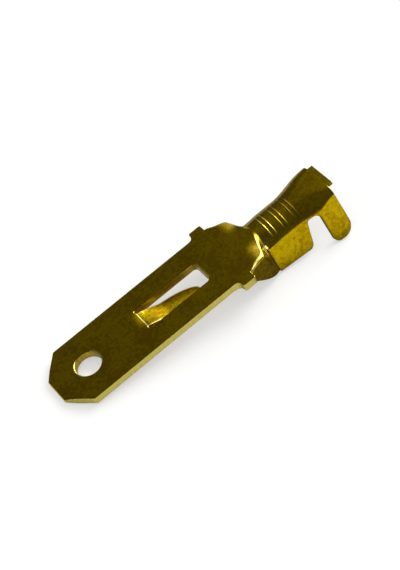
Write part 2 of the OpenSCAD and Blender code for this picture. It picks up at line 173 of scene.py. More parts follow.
class Strip:
    """The strip in millimetres, in the blade's own frame: x from tip to tail, upper face at z = 0.

    A point of the flat blank has x along the strip, p across it and a depth below the outer face.
    """
    # Turns from one section to the next
    turn_before = 0.8        # the walls start to lean further this far ahead of the wire barrel's front
    turn_after = 0.2         # and have the wings' lean this far behind it
    flare_before = 0.3       # the barrel starts to flare this far ahead of the wing gap
    tighten_before = 0.45    # its folds start to tighten this far ahead of the insulation wings
    ear_fold_r = 0.1         # fold radius at the ears
    ear_fold_share = 0.4     # share of the neck over which it grows to the neck's own
    min_inner_r = 0.05       # least radius inside a fold
    wing_blend = 1.4         # length of wing over which a slip of its inner face fades
    flat_blend = 1.2         # width of floor over which a slip of its inner face fades
    tab_blend = 0.05         # length over which the tail tab steps in

    # Slits, small corners and edges
    ear_slit = 0.06          # width of the slit between each ear and the neck's wall
    root_r = 0.12            # corner radius beside the lance's root
    slit_spring = 0.06       # shift of the neck's walls at the mouth of the relief slits
    spring_len = 0.5         # length of wall that the shift bends
    spring_rise = 0.6        # width of wall over which it grows from the slit's root
    blade_edge_r = 0.05      # upper edge of the blade
    strip_edge_r = 0.04      # outer edge of the ears, walls and wings
    hole_edge_r = 0.09       # upper edge of the hole
    window_edge_r = 0.06     # upper edge of the window and the lance
    under_edge_r = 0.06      # lower edges that are not rolled
    blade_rim = 0.18         # width of the rim that takes in the blade's rounded edges
    ear_rim = 0.12           # the same at the ears
    barrel_rim = 0.075       # and behind them

    # Grooves and the crests over their edges
    groove_count = 3
    groove_edge = 0.09       # width of a groove's sloping sides
    groove_fade = 0.6        # width over which grooves and crests fade out
    crest_w = 0.045          # width of a crest's bell
    crest_short = 0.35       # distance by which crests end before the grooves do
    crest_loss = 0.25        # share of height lost from one groove's crests to the next

    # Dimples where the neck's folds run into the wire barrel
    dimple_depth = 0.23
    dimple_before = 0.15     # distance of the deepest place ahead of the wire barrel's front
    dimple_len = 0.8         # length of the bell along the strip
    dimple_middle = 0.6      # distance from the middle where a dimple starts
    dimple_rise = 1.3        # width over which it deepens
    dimple_edge = 2.25       # distance from the middle where it ends on the barrel
    dimple_widen = 0.75      # extra distance on the neck
    dimple_widen_len = 0.3   # length over which that is gained
    dimple_fall = 0.5        # width over which it ends

    # Dish round the lance's root
    dish_depth = 0.09
    dish_before = 0.9        # length ahead of the fold over which it deepens
    dish_more = 0.5          # share by which it is deeper behind the fold
    dish_more_len = 0.1      # length over which that is gained
    dish_hold = 0.2          # length behind the fold that keeps the depth
    dish_after = 1.2         # length over which it then fades
    dish_half_w = 1.6        # half width at which it ends

    # Pale drawn metal, partly a painted highlight
    band_start = 0.1         # length over which the folds' band starts behind the ears
    band_past = 0.2          # distance that it runs past the wire barrel's front
    band_end = 0.4           # length over which it ends
    band_w = 0.4             # its width from where the fold starts
    band_inner = 0.08        # soft width on its inner side
    band_outer = 0.1         # soft width on its outer side
    root_at = 0.06           # distance of the root's line behind the lance's fold
    root_len = 0.07          # length of its bell
    root_side = 0.1          # distance that it runs past the lance on each side
    crest_pale = 0.8         # weight on the crests
    dimple_pale = 0.45       # weight in the dimples

    # Metal that slid over the tools
    rub_after = 0.1          # distance behind the lance's fold where it starts
    wing_rub = 0.5           # weight on the wings
    wing_rub_fade = 0.3      # width over which the wings gain it

    def __init__(self, sizes):
        for name in sizes.__annotations__:
            value = getattr(sizes, name)
            setattr(self, name, value if name.endswith(("angle", "splay")) else value / MM)
        self.neck_x = self.blade_len + self.ear_len
        self.wire_x = self.neck_x + self.neck_len
        self.gap_x = self.wire_x + self.wire_len
        self.ins_x = self.gap_x + self.wing_gap
        self.ins_end_x = self.ins_x + self.ins_len
        self.tail_x = self.ins_end_x + self.tail_tab_len
        self.flare_x0 = self.gap_x - self.flare_before
        self.flare_x1 = (self.ins_x + self.ins_end_x) / 2
        self.tighten_x0 = self.ins_x - self.tighten_before
        self.wall_end_x = self.wire_x - self.relief_w
        self.lance_w = self.window_w - 2 * self.lance_clearance
        self.lead_drop = (self.blade_t - self.tip_end_t) / 2
        self.lead_r = (self.tip_lead_len ** 2 + self.lead_drop ** 2) / (2 * self.lead_drop)

    def thickness(self, x):
        """Thickness: the blade's up to the ears, then falling to the barrel's."""
        return lerp(self.blade_t, self.strip_t, smooth((x - self.neck_x) / self.strip_step_len))

    def section(self, x):
        """Half floor width, fold radius and wing lean of the section at x.

        Each blends smoothly from the neck's value to the wire barrel's and on to the insulation barrel's.
        """
        along = np.clip((x - self.neck_x) / self.neck_len, 0, 1)
        neck_r = lerp(self.ear_fold_r, self.neck_fold_r, smooth(along / self.ear_fold_share))
        neck_half = lerp(self.neck_front_w, self.neck_rear_w, along) / 2 - neck_r
        turned = smooth((x - self.wire_x + self.turn_before) / (self.turn_before + self.turn_after))
        flared = smooth((x - self.flare_x0) / (self.flare_x1 - self.flare_x0))
        tightened = smooth((x - self.tighten_x0) / (self.ins_end_x - self.tighten_x0))
        shouldered = smooth((x - self.wire_x + self.shoulder_len) / (self.shoulder_len + self.turn_after))
        splay = lerp(self.neck_splay, self.wing_splay, turned)
        lean = (1 - np.sin(splay)) / np.cos(splay)
        corner = lerp(neck_half + neck_r * lean, self.wire_floor_w / 2 + self.wire_corner_r * lean, turned)
        fold_r = lerp(lerp(neck_r, self.wire_corner_r, shouldered), self.ins_corner_r, tightened)
        half = lerp(corner, self.ins_floor_w / 2 + self.ins_corner_r * lean, flared) - fold_r * lean
        return half, fold_r, splay

    def wing_root(self, x):
        """Distance across the blank from the middle to where the fold ends and the straight wing begins."""
        half, fold_r, splay = self.section(x)
        return half + fold_r * (math.pi / 2 - splay)

    def wall_depth(self, x):
        """Depth of the neck's wall at x: a quarter sine from the ears to the wire barrel."""
        along = np.clip((x - self.neck_x) / self.neck_len, 0, 1)
        return lerp(self.neck_front_depth, self.neck_rear_depth, np.sin(along * math.pi / 2))

    def across(self, x, depth):
        """Place p across the blank of a point of the outer face that lies at a depth below the floor."""
        half, fold_r, splay = self.section(x)
        fold_depth = fold_r * (1 - np.sin(splay))
        rise = np.clip(1 - depth / fold_r, -1, 1)
        on_arc = half + fold_r * (math.pi / 2 - np.arcsin(rise))
        on_wing = self.wing_root(x) + (depth - fold_depth) / np.cos(splay)
        return np.where(depth < fold_depth, on_arc, on_wing)

    def on_lance(self, x, p):
        """Whether points belong to the lance: behind its fold and well inside the window's sides."""
        rear_x = self.window_x + self.window_len - self.lance_clearance / 2
        return (x > self.window_x) & (x < rear_x) & (np.abs(p) < (self.lance_w + self.window_w) / 4)

    def grooves(self, x, p):
        """Weights of the wire-gripping grooves, and of the thin crests over their edges.

        A groove has smooth steps for sides, a crest is a bell over each side, and both fade before the wings.
        """
        near = (x - self.wire_x - self.groove_first) / self.groove_pitch
        which = np.clip(np.round(near), 0, self.groove_count - 1)
        off = np.abs(near - which) * self.groove_pitch - self.groove_w / 2
        room = self.wing_root(x) - np.abs(p)
        groove = smooth(0.5 - off / self.groove_edge) * smooth(room / self.groove_fade)
        crest = np.exp(-(off / self.crest_w) ** 2) * smooth((room - self.crest_short) / self.groove_fade)
        return groove, crest * (1 - self.crest_loss * which)

    def dimple(self, x, p):
        """Weight of the dimples: a bell along the strip, between the middle and the fold on each side."""
        off = np.abs(p)
        edge = self.dimple_edge + self.dimple_widen * smooth((self.wire_x - x) / self.dimple_widen_len)
        bell = np.exp(-((x - self.wire_x + self.dimple_before) / self.dimple_len) ** 2)
        rise = smooth((off - self.dimple_middle) / self.dimple_rise)
        return bell * rise * smooth((edge - off) / self.dimple_fall)

    def dish(self, x, p):
        """Weight of the dish: a parabola up to the fold, a smooth fall behind it, and less to each side."""
        behind = x - self.window_x
        ahead = np.clip(1 + behind / self.dish_before, 0, 1) ** 2
        along = np.where(behind < 0, ahead, 1 + self.dish_more * smooth(behind / self.dish_more_len))
        along = along * (1 - smooth((behind - self.dish_hold) / self.dish_after))
        return along * np.clip(1 - (p / self.dish_half_w) ** 2, 0, 1) ** 2

    def drawn(self, x, p):
        """Weight of the pale metal on neck folds, crests, lance root and dimples: drawn by the press, and
        partly a painted highlight.

        The folds have a band with soft sides and ends, and the root is a bell along the strip.
        """
        off = np.abs(p) - self.section(x)[0]
        starts = smooth((x - self.neck_x) / self.band_start)
        ends = smooth((self.wire_x + self.band_past - x) / self.band_end)
        band = starts * ends * smooth(off / self.band_inner) * smooth((self.band_w - off) / self.band_outer)
        root = np.exp(-((x - self.window_x - self.root_at) / self.root_len) ** 2)
        root = root * (np.abs(p) < self.lance_w / 2 + self.root_side)
        crest = self.crest_pale * self.grooves(x, p)[1]
        return np.maximum.reduce([band, crest, root, self.dimple_pale * self.dimple(x, p)])

    def rubbed(self, x, p):
        """Weight of the metal that slid over the tools: all of the lance, and the wings in part."""
        lance = self.on_lance(x, p) & (x > self.window_x + self.rub_after)
        wing = smooth((np.abs(p) - self.wing_root(x)) / self.wing_rub_fade) * (x > self.wire_x)
        return np.maximum(lance, self.wing_rub * wing)

    def spring(self, x, p):
        """Shift of the neck's walls towards the wire wings, which narrows each slit from root to mouth."""
        root_p = self.across(self.wall_end_x, self.relief_depth + self.relief_w)
        near = smooth((x - self.wall_end_x + self.spring_len) / self.spring_len)
        on_wall = near * (x < self.wire_x - self.relief_w / 2)
        return self.slit_spring * on_wall * smooth((np.abs(p) - root_p) / self.spring_rise)

    def blade_height(self, x, depth):
        """Height of points of the blade, which is flat and thins along two arcs at its tip."""
        ahead = np.clip(self.tip_lead_len - x, 0, self.tip_lead_len)
        drop = self.lead_r - np.sqrt(self.lead_r ** 2 - ahead ** 2)
        return -drop - depth * (1 - 2 * drop / self.thickness(x))

    def lance_place(self, x, depth):
        """Places along the blade and heights of points of the lance.

        It turns down about an axis below the blade, runs straight, turns part of the way back at its knee
        and runs on straight.
        """
        outer_r = self.blade_t + self.lance_fold_r
        steep = self.lance_angle
        back = steep - self.lance_end_angle
        run = np.maximum(x - self.window_x, 0)
        bent = np.minimum(run / outer_r, steep)
        run = run - outer_r * steep
        down = np.clip(run, 0, self.lance_run)
        knee = np.clip((run - self.lance_run) / self.lance_knee_r, 0, back)
        rest = np.maximum(run - self.lance_run - self.lance_knee_r * back, 0)
        now = bent - knee
        to_x = self.window_x + outer_r * np.sin(bent) + down * np.cos(bent) + rest * np.cos(now)
        to_x = to_x + self.lance_knee_r * (np.sin(bent) - np.sin(now)) - depth * np.sin(now)
        to_z = outer_r * (np.cos(bent) - 1) - down * np.sin(bent) - rest * np.sin(now)
        to_z = to_z + self.lance_knee_r * (np.cos(bent) - np.cos(now)) - depth * np.cos(now)
        return to_x, to_z

    def barrel_place(self, x, p, depth):
        """Places across and heights of points behind the ears.

        Each section is a flat floor, a round fold and a straight wing, with the inner face parallel to the
        outer one. Where the fold is too tight for that, its inner radius stays at the least, and the inner
        faces of floor and wing slip to meet it.
        """
        half, fold_r, splay = self.section(x)
        lean = (1 - np.sin(splay)) / np.cos(splay)
        inner_r = np.maximum(fold_r - depth, self.min_inner_r)
        centre_y = half + fold_r * lean - lean * (depth + inner_r)
        centre_z = -(depth + inner_r)
        off = np.abs(p)
        arc = fold_r * (math.pi / 2 - splay)
        blend = np.minimum(half, self.flat_blend)
        floor_y = off - (half - centre_y) * smooth((off - half + blend) / blend)
        angle = math.pi / 2 - (math.pi / 2 - splay) * np.clip((off - half) / arc, 0, 1)
        fold_y = centre_y + inner_r * np.cos(angle)
        fold_z = centre_z + inner_r * np.sin(angle)
        out = off - half - arc
        foot_z = -fold_r + (fold_r - depth) * np.sin(splay)
        slip = (foot_z - (centre_z + inner_r * np.sin(splay))) / np.cos(splay)
        way = out + slip * (1 - smooth(out / self.wing_blend))
        wing_y = half + (fold_r - depth) * np.cos(splay) + way * np.sin(splay)
        wing_z = foot_z - way * np.cos(splay)
        to_y = np.where(off <= half, floor_y, np.where(out <= 0, fold_y, wing_y)) * np.sign(p)
        to_z = np.where(off <= half, -depth, np.where(out <= 0, fold_z, wing_z))
        return to_y, to_z

    def fold(self, x, p, depth):
        """Folds points of the blank into space.

        First the depths take in the grooves, crests, dish, dimples and tail tab. Then the blade stays flat,
        the lance turns down, and what lies behind the ears is folded into the neck and the barrel.
        """
        share = depth / self.thickness(x)
        groove, crest = self.grooves(x, p)
        pressed = self.dish_depth * self.dish(x, p) + self.dimple_depth * self.dimple(x, p)
        tab = smooth((x - self.ins_end_x) / self.tab_blend)
        depth = depth - lerp(crest * self.groove_proud, groove * self.groove_depth, share)
        depth = depth + pressed * (1 - share)
        depth = depth + tab * self.tail_tab_step * (1 - 2 * share)

        blade_z = self.blade_height(x, depth)
        lance_x, lance_z = self.lance_place(x, depth)
        barrel_y, barrel_z = self.barrel_place(x, p, depth)
        on_lance = self.on_lance(x, p)
        folded = x > self.neck_x + self.ear_slit / 2
        to_x = np.where(on_lance, lance_x, x + self.spring(x, p))
        to_y = np.where(folded, barrel_y, p)
        to_z = np.where(folded, barrel_z, np.where(on_lance, lance_z, blade_z))
        return np.stack([to_x, to_y, to_z], axis=-1)

    def slopes(self, x, p, depth):
        """Directions along and across the strip at points of the blank, and the face's normal."""
        step = 1e-3
        along = self.fold(x + step, p, depth) - self.fold(x - step, p, depth)
        across = self.fold(x, p + step, depth) - self.fold(x, p - step, depth)
        normal = np.cross(along, across)
        return along, across, normal / np.linalg.norm(normal, axis=-1, keepdims=True)


def rounded(corners, steps=10):
    """A polyline through (x, y, radius) corners, with an arc in place of each corner that has a radius."""
    places = np.array([corner[:2] for corner in corners], float)
    radii = [corner[2] for corner in corners[1:-1]]
    share = np.linspace(0, 1, steps + 1)[:, None]
    out = [places[:1]]
    for before, here, after, radius in zip(places[:-2], places[1:-1], places[2:], radii):
        back = (before - here) / np.linalg.norm(before - here)
        ahead = (after - here) / np.linalg.norm(after - here)
        half = math.acos(np.clip(back @ ahead, -1, 1)) / 2
        straight = half > math.pi / 2 - 1e-6
        if radius == 0 or straight:
            out.append(here[None])
            continue
        centre = here + (back + ahead) / np.linalg.norm(back + ahead) * radius / math.sin(half)
        first = here + back * radius / math.tan(half) - centre
        last = here + ahead * radius / math.tan(half) - centre
        way = first * (1 - share) + last * share
        out.append(centre + radius * way / np.linalg.norm(way, axis=1, keepdims=True))
    out.append(places[-1:])
    return np.concatenate(out)


def resampled(points, spacing, closed=False):
    """A polyline with each straight stretch divided so that no step is longer than the spacing."""
    ends = np.concatenate([points[1:], points[:1]]) if closed else points[1:]
    starts = points if closed else points[:-1]
    counts = np.maximum(np.ceil(np.linalg.norm(ends - starts, axis=1) / spacing).astype(int), 1)
    which = np.repeat(np.arange(len(starts)), counts)
    share = (np.arange(counts.sum()) - np.repeat(np.cumsum(counts) - counts, counts)) / counts[which]
    line = starts[which] + (ends - starts)[which] * share[:, None]
    return line if closed else np.concatenate([line, points[-1:]])


def mitres(loop):
    """Vectors that move each corner of a closed loop so that both of its sides shift left by one unit."""
    ahead = np.roll(loop, -1, 0) - loop
    ahead /= np.linalg.norm(ahead, axis=1, keepdims=True)
    left = np.stack([-ahead[:, 1], ahead[:, 0]], axis=1)
    both = left + np.roll(left, 1, 0)
    return both / (1 + (left * np.roll(left, 1, 0)).sum(1, keepdims=True))


def cleared(loop, reach):
    """A closed loop without the points that lie nearer than the reach to one of its sharp outward corners."""
    sharp_turn = math.radians(35)
    ahead = np.roll(loop, -1, 0) - loop
    back = np.roll(ahead, 1, 0)
    cross = back[:, 0] * ahead[:, 1] - back[:, 1] * ahead[:, 0]
    sharp = np.arctan2(cross, (back * ahead).sum(1)) > sharp_turn
    gap = np.linalg.norm(loop[:, None] - loop[sharp], axis=-1).min(1)
    return loop[sharp | (gap > reach)]


def within(points, loops):
    """Whether each point lies inside an odd number of the closed loops."""
    odd = np.zeros(len(points), bool)
    x, y = points[:, :1], points[:, 1:]
    for start in loops:
        end = np.roll(start, -1, 0)
        crosses = (start[:, 1] > y) != (end[:, 1] > y)
        drop = np.where(end[:, 1] == start[:, 1], 1, end[:, 1] - start[:, 1])
        meets_x = start[:, 0] + (y - start[:, 1]) * (end[:, 0] - start[:, 0]) / drop
        odd ^= (crosses & (x < meets_x)).sum(1) % 2 == 1
    return odd


def rim_inset(strip, loop):
    """Distance from each point of an outline to the ring where the even faces begin."""
    ear_reach = 1.2 * strip.ear_root_r
    on_barrel = loop[:, 0] > strip.neck_x + strip.ear_slit / 2
    on_ear = loop[:, 0] > strip.blade_len - ear_reach
    return np.where(on_barrel, strip.barrel_rim, np.where(on_ear, strip.ear_rim, strip.blade_rim))


def outer_loop(strip):
    """The blank's outer outline: blade, ears, neck walls, wings and tail tab, and the same mirrored.

    The walls and wings are drawn as seen from the side, and the depths of their edges are then turned into
    places across the blank. Each relief slit ends in a round hook that is a little wider than the slit.
    """
    blade_step, long_step, short_step = 0.2, 0.25, 0.1
    wall_points, hook_points = 30, 15
    hook_r = 0.75 * strip.relief_w
    hook_mouth = 0.27 * math.pi
    least_depth, tab_gap = 0.02, 0.05
    corner_room = 1.2

    half, ear_half, tab_half = strip.blade_w / 2, strip.ear_span / 2, strip.tail_tab_w / 2
    root_p = strip.section(np.array(strip.neck_x))[0]
    slit_x = strip.neck_x + strip.ear_slit
    blade = resampled(rounded([
        (0, half - strip.tip_chamfer_w, 0), (strip.tip_chamfer_len, half, 0),
        (strip.blade_len, half, strip.ear_root_r), (strip.blade_len, ear_half, strip.ear_corner_r),
        (strip.neck_x, ear_half, strip.ear_corner_r), (strip.neck_x, root_p, 0)]), blade_step)

    wall_x = np.linspace(slit_x, strip.wall_end_x, wall_points)
    wall = np.stack([wall_x, strip.wall_depth(wall_x)], axis=1)
    front = resampled(np.array([[slit_x, 0], wall[0]]), short_step)
    turns = np.linspace(hook_mouth, 2 * math.pi - hook_mouth, hook_points)
    hook = np.stack([strip.wire_x - strip.relief_w / 2 - hook_r * np.sin(turns),
                     strip.relief_depth + hook_r * np.cos(turns)], axis=1)
    slit = resampled(np.array([wall[-1], hook[0]]), short_step)
    wings = resampled(rounded([
        (strip.wire_x, hook[-1][1], 0), (strip.wire_x, strip.wire_depth, strip.wire_front_r),
        (strip.gap_x, strip.wire_rear_depth, strip.wire_rear_r),
        (strip.gap_x + strip.wire_rear_lean, strip.gap_wire_depth, strip.gap_wire_r),
        (strip.ins_x, strip.gap_ins_depth, strip.gap_ins_r),
        (strip.ins_x, strip.ins_depth, strip.ins_front_r),
        (strip.ins_end_x, strip.ins_depth, strip.ins_rear_r), (strip.ins_end_x, least_depth, 0)]), short_step)
    side = np.concatenate([front[1:], wall[1:], slit[1:-1], hook[:-1], wings])
    side = np.stack([side[:, 0], strip.across(side[:, 0], side[:, 1])], axis=1)
    side = side[(side[:, 0] < strip.ins_end_x - 1e-6) | (side[:, 1] > tab_half + tab_gap)]

    root = resampled(np.array([[slit_x, root_p], side[0]]), short_step)[:-1]
    tail = np.array([[strip.ins_end_x, tab_half], [strip.tail_x, tab_half], [strip.tail_x, 0]])
    tab = resampled(tail, short_step)[:-1]
    far = np.concatenate([blade, root, side, tab])
    loop = resampled(np.concatenate([far * [1, -1], tail[-1:], far[::-1]]), long_step, closed=True)
    return cleared(loop, corner_room * rim_inset(strip, loop))


def hole_loop(strip):
    """The detent hole's outline: a circle."""
    hole_points = 96
    turns = np.linspace(0, -2 * math.pi, hole_points + 1)[:-1]
    circle = np.stack([np.cos(turns), np.sin(turns)], axis=1)
    return [strip.hole_x, 0] + strip.hole_d / 2 * circle


def window_loop(strip):
    """The window's outline, which also goes round the lance and its nose, half an ellipse."""
    step, nose_points = 0.06, 33
    side, lance_side = strip.window_w / 2, strip.lance_w / 2
    front, rear = strip.window_x, strip.window_x + strip.window_len
    start_x = front + 1
    knee = strip.lance_knee_r * (strip.lance_angle - strip.lance_end_angle)
    folds = (strip.blade_t + strip.lance_fold_r) * strip.lance_angle + knee
    nose_x = front + folds + strip.lance_run + strip.lance_len - strip.lance_nose_len
    turns = np.linspace(math.pi / 2, -math.pi / 2, nose_points)
    nose = np.stack([nose_x + strip.lance_nose_len * np.cos(turns), lance_side * np.sin(turns)], axis=1)
    to_nose = rounded([
        (start_x, -side, 0), (rear, -side, strip.window_corner_r), (rear, side, strip.window_corner_r),
        (front, side, strip.root_r), (front, lance_side, strip.root_r), (nose_x, lance_side, 0)])
    from_nose = rounded([
        (nose_x, -lance_side, 0), (front, -lance_side, strip.root_r), (front, -side, strip.root_r),
        (start_x, -side, 0)])
    loop = np.concatenate([to_nose[:-1], nose, from_nose[1:-1]])
    return resampled(loop[::-1], step, closed=True)


def blank_loops(strip):
    """Outlines of the flat blank with the metal on their left, each with its upper and lower edge radii."""
    outer, hole, window = outer_loop(strip), hole_loop(strip), window_loop(strip)
    on_blade = rim_inset(strip, outer) > strip.edge_roll_r
    return [
        (outer, np.where(on_blade, strip.blade_edge_r, strip.strip_edge_r),
         np.where(on_blade, strip.edge_roll_r, strip.under_edge_r)),
        (hole, np.full(len(hole), strip.hole_edge_r), np.full(len(hole), strip.under_edge_r)),
        (window, np.full(len(window), strip.window_edge_r), np.full(len(window), strip.under_edge_r)),
    ]


def blank_grid(strip, loops):
    """Points inside the blank: a grid that is fine where the strip is folded and coarse on the flat blade.

    Each grid has its own steps along and across the strip, and a small shift across it.
    """
    tip_step, tip_side_step = 0.08, 0.15
    blade_step, blade_shift = 0.25, 0.03
    patch_side_step, patch_shift = 0.08, 0.02
    barrel_step, barrel_shift = 0.09, 0.01
    gap = 0.1
    near = 0.05

    def grid(along, half, step, shift=0):
        across = np.arange(-half, half, step) + shift
        return np.stack(np.meshgrid(along, across, indexing="ij"), axis=-1).reshape(-1, 2)

    # Tip and blade
    tip_end = strip.tip_lead_len + gap
    tip = grid(np.arange(strip.blade_rim + tip_step, tip_end, tip_step), strip.ear_span, tip_side_step)
    blade_x = np.arange(tip_end + gap, strip.neck_x, blade_step)
    blade = grid(blade_x, strip.ear_span, blade_step, blade_shift)

    # A patch round the lance's root takes the blade's place there, with its columns closest behind the fold
    patch_front, patch_rear, patch_half = 1.4, 0.5, 1.5
    ahead_x = np.linspace(-patch_front, 0, 21)
    behind_x = np.linspace(0.15, patch_rear - 0.07, 5)
    patch_x = np.concatenate([ahead_x, [0.02, 0.045, 0.07, 0.1], behind_x])
    patch = grid(strip.window_x + patch_x, patch_half, patch_side_step, patch_shift)
    behind = blade[:, 0] - strip.window_x
    apart = (behind < -patch_front - near) | (behind > patch_rear + near)
    blade = blade[apart | (np.abs(blade[:, 1]) > patch_half + near)]

    # Neck and barrel, with extra columns over the grooves' edges
    edge_half, edge_columns, edge_gap = 0.1, 11, 0.04
    blank_half = 6.5
    middles = strip.wire_x + strip.groove_first + strip.groove_pitch * np.arange(strip.groove_count)
    edges = (middles[:, None] + np.array([-1, 1]) * strip.groove_w / 2).ravel()
    fine = (edges[:, None] + np.linspace(-edge_half, edge_half, edge_columns)).ravel()
    even = np.arange(strip.neck_x + gap, strip.tail_x, barrel_step)
    even = even[np.abs(even[:, None] - fine).min(1) > edge_gap]
    barrel = grid(np.sort(np.concatenate([even, fine])), blank_half, barrel_step, barrel_shift)

    # Only what lies inside the outlines and clear of them is kept, and the gaps are measured in batches
    batch = 1500
    points = np.concatenate([tip, blade, patch, barrel])
    points = points[within(points, loops)]
    rim = np.concatenate(loops)
    parts = np.array_split(points, max(len(points) // batch, 1))
    gaps = [np.sqrt(((part[:, None] - rim) ** 2).sum(-1).min(1)) for part in parts]
    return points[np.concatenate(gaps) > near]


def rim_rings(strip, loop, upper_r, lower_r):
    """Rings of the blank's rim, down a quarter circle at its upper edge and another at its lower edge.

    Each ring gives the blank points, their depths and the slope of its normal above the wall's. The vectors
    that move the outline inward come with them.
    """
    move = mitres(loop)
    rings = []
    quarter = np.linspace(math.pi / 2, 0, 5)
    for slope in quarter:
        places = loop + move * (upper_r * (1 - np.cos(slope)))[:, None]
        rings.append((places, upper_r * (1 - np.sin(slope)), slope))
    for slope in -quarter[::-1]:
        places = loop + move * (lower_r * (1 - np.cos(slope)))[:, None]
        rings.append((places, strip.thickness(places[:, 0]) - lower_r * (1 + np.sin(slope)), slope))
    return rings, move


def bowed(strip, points):
    """The blank's plane, bent so that straight sides are shallow parabolas with no three points in line."""
    bow = 0.005
    x, p = points[:, 0] - strip.tail_x / 2, points[:, 1]
    return np.stack([x - 2 * bow * p ** 2, p + bow * x ** 2], axis=1)


def blank_triangles(strip, inner, flat):
    """Triangles of the flat blank between its inner loops, as rows of three places in flat.

    They are made on the bowed plane, those outside the loops are left out, and all turn the same way.
    """
    edges, start = [], 0
    for loop in inner:
        index = start + np.arange(len(loop))
        edges += np.stack([index, np.roll(index, -1)], axis=1).tolist()
        start += len(loop)
    plane = bowed(strip, flat)
    made = delaunay_2d_cdt(plane.tolist(), edges, [], 1, 1e-7)
    if len(made[0]) != len(plane):
        raise RuntimeError("the blank's outlines cross")
    tris = np.array(made[2])
    tris = tris[within(plane[tris].mean(1), [bowed(strip, loop) for loop in inner])]
    first, second, third = plane[tris[:, 0]], plane[tris[:, 1]], plane[tris[:, 2]]
    go, on = second - first, third - first
    area = go[:, 0] * on[:, 1] - go[:, 1] * on[:, 0]
    return np.where((area > 0)[:, None], tris, tris[:, ::-1])


def folded_mesh(strip):
    """The whole strip as arrays: points, normals, faces, each face's finish, blank and rim places, rim wear.

    The blank's inside is divided into triangles once, and folded at depth 0 for the upper faces and
    at full depth for the lower ones. Quads join the two along every rim. The rim wear on upper edges
    near the middle is a painted highlight.
    """
    edge_highlight_pale, wall_pale = 0.8, 0.5
    level_slope = 0.3
    middle_half = strip.lance_w / 2 + 0.02
    slit_reach = 0.16

    loops = blank_loops(strip)
    inner = [loop + mitres(loop) * rim_inset(strip, loop)[:, None] for loop, _, _ in loops]
    flat = np.concatenate(inner + [blank_grid(strip, inner)])
    tris = blank_triangles(strip, inner, flat)
    points, normals, blank, rim, worn, faces, finish = [], [], [], [], [], [], []
    count = len(flat)
    for lower in (False, True):
        depth = strip.thickness(flat[:, 0]) * lower
        points.append(strip.fold(flat[:, 0], flat[:, 1], depth))
        normals.append(strip.slopes(flat[:, 0], flat[:, 1], depth)[2] * (-1 if lower else 1))
        blank.append(flat)
        rim.append(np.zeros_like(flat))
        worn.append(np.zeros(count))
        faces += ((tris[:, ::-1] if lower else tris) + count * lower).tolist()
    finish += [0] * len(faces)

    base, first = 2 * count, 0
    for loop, upper_r, lower_r in loops:
        punched = first > 0
        around = np.arange(len(loop))
        rings, move = rim_rings(strip, loop, upper_r, lower_r)
        walked = np.concatenate([[0], np.cumsum(np.linalg.norm(np.diff(loop, axis=0), axis=1))])
        ids = [first + around]
        for places, depth, slope in rings:
            along, across, normal = strip.slopes(places[:, 0], places[:, 1], depth)
            out = -(along * move[:, :1] + across * move[:, 1:])
            out -= normal * (out * normal).sum(1, keepdims=True)
            out /= np.linalg.norm(out, axis=1, keepdims=True)
            points.append(strip.fold(places[:, 0], places[:, 1], depth))
            normals.append(out * math.cos(slope) + normal * math.sin(slope))
            blank.append(places)
            rim.append(np.stack([walked, depth], axis=1))
            # The punch leaves walls pale in the hole and the window; upper edges near the middle are paler, a
            # painted highlight
            edge = (np.abs(places[:, 1]) < middle_half) & punched & (slope > level_slope)
            wall = wall_pale * punched * (abs(slope) < level_slope)
            worn.append(np.where(edge, edge_highlight_pale, wall))
            ids.append(base + around)
            base += len(loop)
        ids.append(count + first + around)
        # The outer walls are sheared, and so are the faces beside them, apart from those in the relief slits
        wall_row = len(rings) // 2
        sheared = (np.abs(loop[:, 0] - strip.wire_x) > slit_reach) & (not punched)
        for row, (up, down) in enumerate(zip(ids[:-1], ids[1:])):
            faces += np.stack([up, down, np.roll(down, -1), np.roll(up, -1)], axis=1).tolist()
            finish += (sheared & (abs(row - wall_row) <= 1)).astype(int).tolist()
        first += len(loop)
    return (np.concatenate(points), np.concatenate(normals), faces, finish,
            np.concatenate(blank), np.concatenate(rim), np.concatenate(worn))


def rest_pose():
    """The turn and the shift in metres that carry the blade's own frame to the row frame, from the mounts."""
    mounts = {mount["name"]: mount for mount in frame["record"]["mounts"]}
    along = -np.array(mounts["blade"]["axis"], float)
    up = np.array(mounts["blade_face"]["axis"], float)
    rot = np.stack([along, np.cross(up, along), up], axis=1)
    face = np.array(mounts["blade_face"]["pos_m"], float)
    tip = np.array(mounts["blade"]["pos_m"], float)
    shift = face - along * ((face - tip) @ along)
    return rot, shift


def add_node(tree, kind, settings=None, **links):
    """Adds a node, sets its properties and sockets, and links the sockets that get another node's output.

    A socket is named with _ for each space, or by i and its number where names repeat.
    """
    node = tree.nodes.new(kind)
    for name, value in (settings or {}).items():
        setattr(node, name, value)
    for name, value in links.items():
        key = int(name[1:]) if name[0] == "i" and name[1:].isdigit() else name.replace("_", " ")
        if isinstance(value, bpy.types.NodeSocket):
            tree.links.new(value, node.inputs[key])
        else:
            node.inputs[key].default_value = value
    return node


def new_material(name):
    """An empty node material with its output and a Principled shader."""
    mat = bpy.data.materials.new(name)
    mat.use_nodes = True
    tree = mat.node_tree
    tree.nodes.clear()
    shader = add_node(tree, "ShaderNodeBsdfPrincipled")
    out = add_node(tree, "ShaderNodeOutputMaterial", Surface=shader.outputs[0])
    return mat, tree, shader, out


def ramp(node, *stops):
    """Sets a colour ramp's two stops from (position, colour) pairs."""
    for stop, (place, colour) in zip(node.color_ramp.elements, stops):
        stop.position = place
        stop.color = (*colour, 1)
    return node


